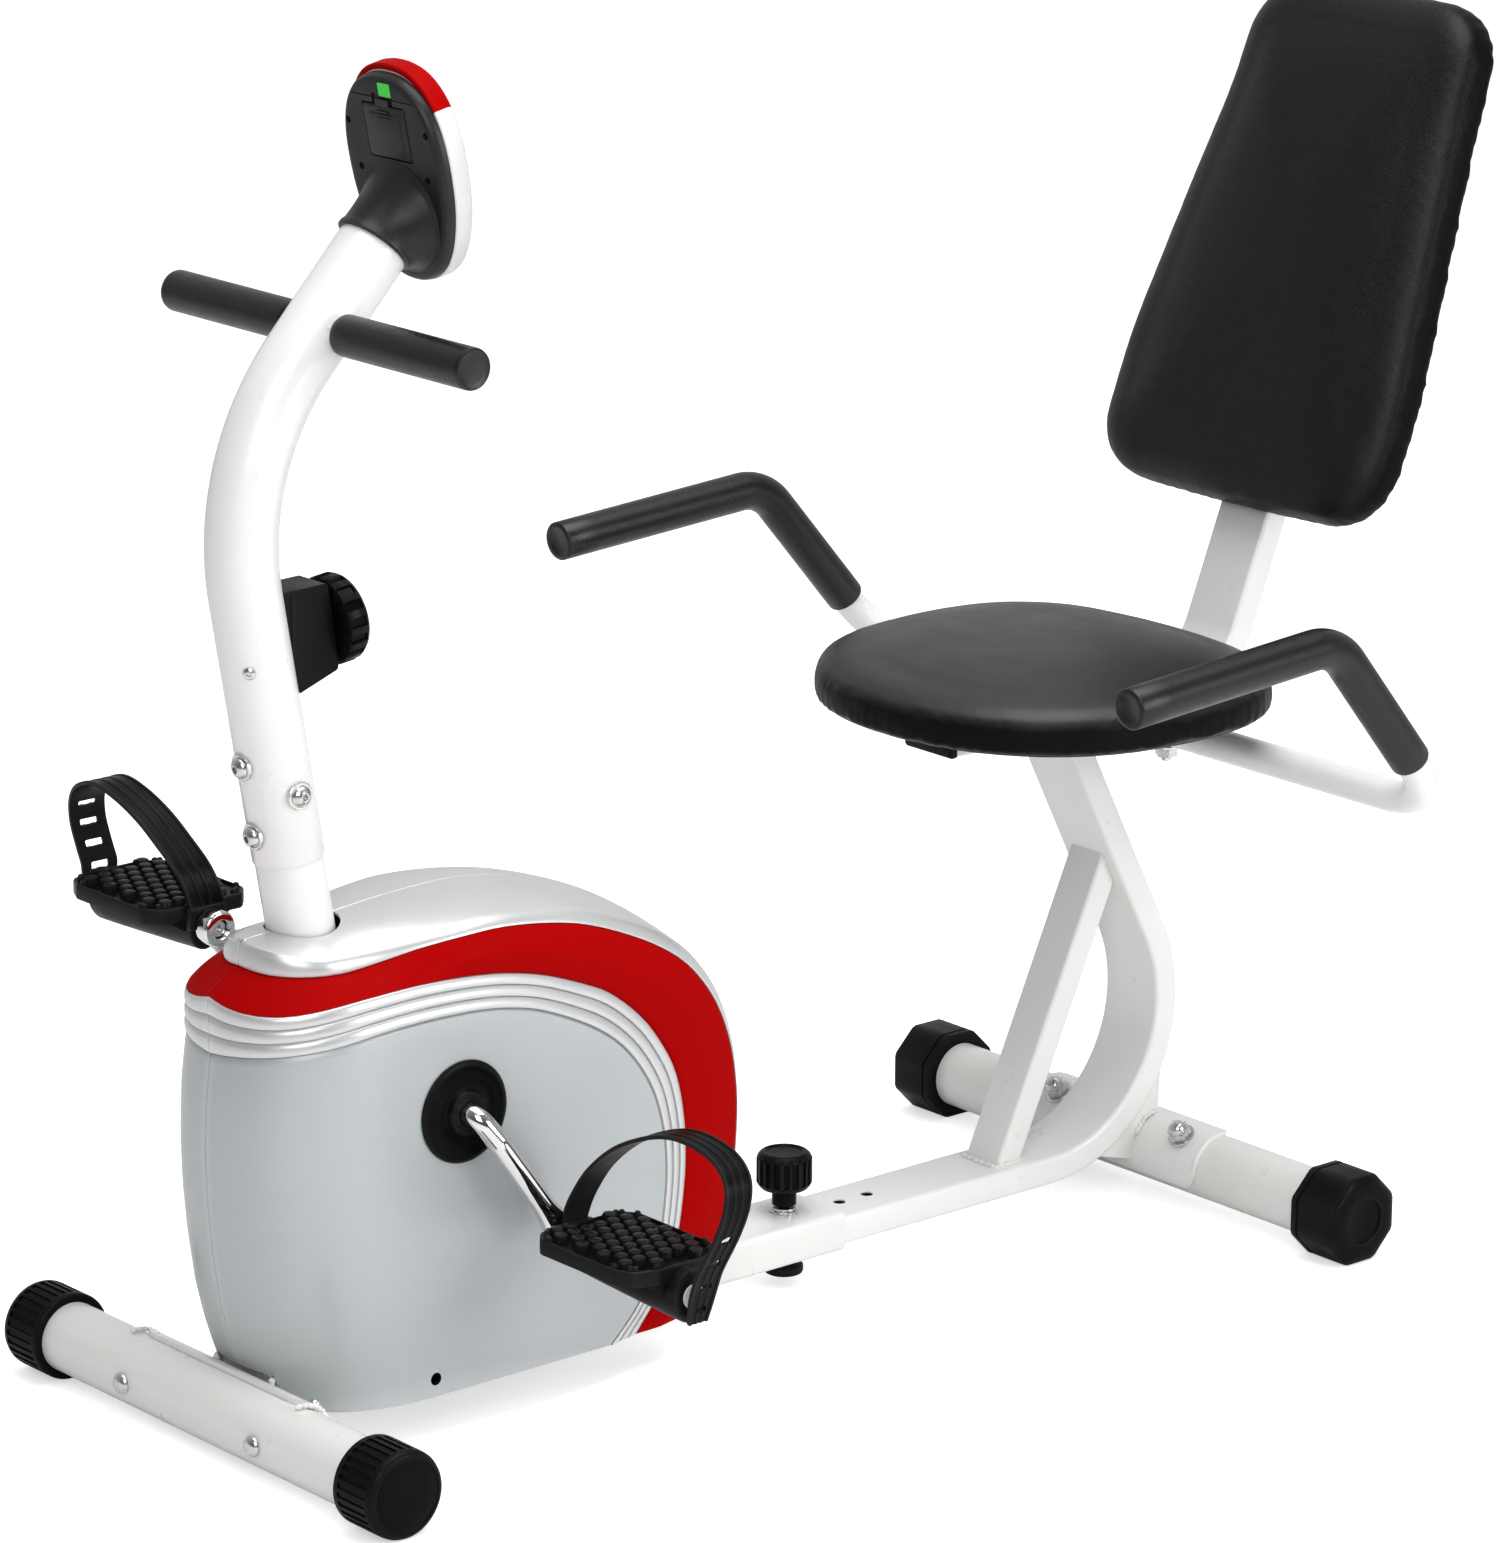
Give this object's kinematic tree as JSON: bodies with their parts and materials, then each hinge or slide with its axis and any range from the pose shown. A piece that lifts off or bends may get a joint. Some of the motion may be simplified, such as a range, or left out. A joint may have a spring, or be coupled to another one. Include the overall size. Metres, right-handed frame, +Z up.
{
  "type": "recumbent exercise bike",
  "caption": "Recumbent exercise bike with shrouded flywheel drive, bent front post with console, sliding seat frame, padded seat and backrest, and side handles.",
  "frame": {"origin": "on the floor, at the middle of the whole bike's footprint, in the plane of symmetry", "axes": "+X from the pedals towards the seat, -Y towards the rider's left, +Z up"},
  "size_m": [1.1506, 0.651, 0.9469],
  "materials": {
    "white_paint": "warm white powder coat, semi-gloss",
    "black_plastic": "moulded black plastic, fine texture",
    "black_foam": "closed-cell foam sleeve, matt black",
    "black_vinyl": "black vinyl upholstery, low sheen",
    "silver_plastic": "silver-grey moulded plastic with a red band, satin",
    "red_plastic": "red moulded plastic",
    "chrome": "bright chrome plate",
    "zinc_steel": "zinc-plated steel",
    "cast_iron": "grey iron, machined rim",
    "belt_rubber": "black rubber",
    "lens": "smoked clear display window",
    "board": "green solder-masked board"
  },
  "bodies": {
    "base": {"main_frame": "white_paint", "front_stabilizer_tube": "white_paint", "front_end_cap_left": "black_plastic", "front_end_cap_right": "black_plastic", "front_carriage_bolt_left": "zinc_steel", "front_carriage_bolt_right": "zinc_steel", "shroud_left": "silver_plastic", "shroud_right": "silver_plastic", "crank_bearing_left": "zinc_steel", "crank_bearing_right": "zinc_steel", "drive_belt": "belt_rubber", "flywheel_axle": "zinc_steel", "magnet_arm_pin": "zinc_steel", "tension_cable": "belt_rubber", "upper_post": "white_paint", "post_bolt_front_upper": "zinc_steel", "post_bolt_front_lower": "zinc_steel", "post_bolt_side": "zinc_steel", "tension_housing": "black_plastic", "handlebar_tube": "white_paint", "handlebar_grip_left": "black_foam", "handlebar_grip_right": "black_foam", "console_boot": "black_plastic", "console_back_cover": "black_plastic", "console_front_shell": "silver_plastic", "display_lens": "lens", "circuit_board": "board", "lock_pin_sleeve": "zinc_steel"},
    "crank": {"crankshaft": "chrome", "crank_cover_disc_left": "black_plastic", "crank_cover_disc_right": "black_plastic", "drive_pulley": "black_plastic", "pedal_spindle_left": "zinc_steel", "pedal_spindle_right": "zinc_steel"},
    "pedal_left_body": {"pedal_left": "black_plastic", "pedal_strap_left": "black_plastic"},
    "pedal_right_body": {"pedal_right": "black_plastic", "pedal_strap_right": "black_plastic"},
    "flywheel_body": {"flywheel": "cast_iron"},
    "tension_dial": {"tension_knob": "black_plastic"},
    "brake_arm": {"magnet_arm": "cast_iron"},
    "seat_carriage": {"rear_frame": "white_paint", "rear_stabilizer_tube": "white_paint", "rear_end_cap_left": "black_plastic", "rear_end_cap_right": "black_plastic", "rear_bolt_left": "zinc_steel", "rear_bolt_right": "zinc_steel", "seat_back_tube": "white_paint", "seat_tube_plug": "black_plastic", "side_handle_tube": "white_paint", "side_grip_left": "black_foam", "side_grip_right": "black_foam", "handle_bolt_left": "zinc_steel", "handle_bolt_right": "zinc_steel", "seat_pad": "black_vinyl", "back_pad": "black_vinyl"},
    "lock_pin": {"lock_knob": "black_plastic"},
    "foot": {"leveling_foot": "black_plastic"},
    "mode_button": {"console_button": "red_plastic"},
    "battery_cover": {"battery_door": "black_plastic"}
  },
  "joints": [
    {"name": "crank_spin", "type": "hinge", "parent": "base", "child": "crank", "pos_m": [-0.39127, 0, 0.2332], "axis": [0, 1, 0], "continuous": true},
    {"name": "pedal_left_spin", "type": "hinge", "parent": "crank", "child": "pedal_left_body", "pos_m": [-0.32501, -0.18, 0.13496], "axis": [0, 1, 0], "continuous": true},
    {"name": "pedal_right_spin", "type": "hinge", "parent": "crank", "child": "pedal_right_body", "pos_m": [-0.45753, 0.18, 0.33144], "axis": [0, 1, 0], "continuous": true},
    {"name": "flywheel_spin", "type": "hinge", "parent": "base", "child": "flywheel_body", "pos_m": [-0.24377, 0, 0.1547], "axis": [0, 1, 0], "continuous": true},
    {"name": "tension_turn", "type": "hinge", "parent": "base", "child": "tension_dial", "pos_m": [-0.44427, 0, 0.5708], "axis": [0.9925, 0, 0.1219], "range_deg": [0, 280]},
    {"name": "brake_swing", "type": "hinge", "parent": "base", "child": "brake_arm", "pos_m": [-0.34012, 0, 0.17518], "axis": [0, -1, 0], "range_deg": [0, 10]},
    {"name": "seat_slide", "type": "slide", "parent": "base", "child": "seat_carriage", "axis": [1, 0, 0], "range_m": [-0.081, 0.243]},
    {"name": "lock_pull", "type": "slide", "parent": "base", "child": "lock_pin", "axis": [0, 0, 1], "range_m": [0, 0.01], "stiffness_N_per_m": 400},
    {"name": "foot_screw", "type": "slide", "parent": "base", "child": "foot", "axis": [0, 0, 1], "range_m": [-0.006, 0]},
    {"name": "button_press", "type": "slide", "parent": "base", "child": "mode_button", "axis": [-0.9799, 0, -0.1994], "range_m": [0, 0.0012], "stiffness_N_per_m": 800},
    {"name": "battery_cover_release", "type": "slide", "parent": "base", "child": "battery_cover", "axis": [-0.9799, 0, -0.1994], "range_m": [0, 0.015]}
  ],
  "couplings": [
    {"joint": "flywheel_spin", "follows": "crank_spin", "ratio": 7.9167},
    {"joint": "brake_swing", "follows": "tension_turn", "ratio": 0.0357}
  ]
}
